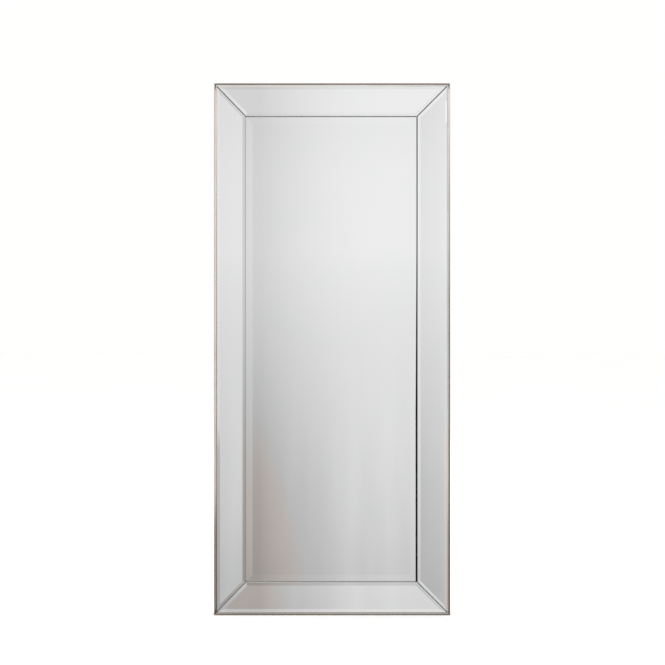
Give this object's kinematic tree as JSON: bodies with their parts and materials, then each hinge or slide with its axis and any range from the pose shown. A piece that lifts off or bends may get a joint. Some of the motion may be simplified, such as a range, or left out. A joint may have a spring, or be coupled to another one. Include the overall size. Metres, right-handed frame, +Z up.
{
  "type": "wall mirror",
  "caption": "Tall rectangular wall mirror: bevelled centre pane framed by sloping bevelled mirror strips and a narrow metallic moulding, with strap hangers at the back.",
  "frame": {"origin": "the middle of the whole object's box", "axes": "+Z up the mirror, -Y out of its front towards the viewer, +X to the right as seen from the front"},
  "size_m": [0.69, 0.0382, 1.555],
  "materials": {
    "mirror_glass": "silvered float glass, polished bevels",
    "moulding": "champagne-silver metallic foil, satin",
    "rail_wood": "planed pine, painted dark on its sloping front",
    "foam_tape": "closed-cell foam tape, matt",
    "buffer_card": "plain card, matt",
    "hardboard": "smooth brown hardboard",
    "plain_steel": "plain steel",
    "zinc_steel": "bright zinc plate",
    "nickel_steel": "nickel plate",
    "bumper_rubber": "matt moulded rubber"
  },
  "bodies": {
    "frame": {"centre_pane": "mirror_glass", "strip_bottom": "mirror_glass", "strip_left": "mirror_glass", "strip_top": "mirror_glass", "strip_right": "mirror_glass", "moulding_bottom": "moulding", "moulding_left": "moulding", "moulding_top": "moulding", "moulding_right": "moulding", "rail_bottom": "rail_wood", "rail_left": "rail_wood", "rail_top": "rail_wood", "rail_right": "rail_wood", "tape_bottom": "foam_tape", "tape_left": "foam_tape", "tape_top": "foam_tape", "tape_right": "foam_tape", "buffer_sheet": "buffer_card", "back_board": "hardboard", "framers_points": "plain_steel", "corner_plate_bottom_left": "zinc_steel", "corner_plate_top_left": "zinc_steel", "corner_plate_top_right": "zinc_steel", "corner_plate_bottom_right": "zinc_steel", "corner_screws": "zinc_steel", "hanger_strap_left": "nickel_steel", "hanger_strap_right": "nickel_steel", "hanger_screws": "zinc_steel", "bumper_bottom_left": "bumper_rubber", "bumper_top_left": "bumper_rubber", "bumper_top_right": "bumper_rubber", "bumper_bottom_right": "bumper_rubber", "moulding_brads": "plain_steel"},
    "ring_left": {"hanger_ring_left": "nickel_steel"},
    "ring_right": {"hanger_ring_right": "nickel_steel"}
  },
  "joints": [
    {"name": "ring_left_swing", "type": "hinge", "parent": "frame", "child": "ring_left", "pos_m": [-0.283, 0.01603, 0.3875], "axis": [0, 0, 1], "range_deg": [-5, 175]},
    {"name": "ring_right_swing", "type": "hinge", "parent": "frame", "child": "ring_right", "pos_m": [0.283, 0.01603, 0.3875], "axis": [0, 0, -1], "range_deg": [-5, 175]}
  ]
}
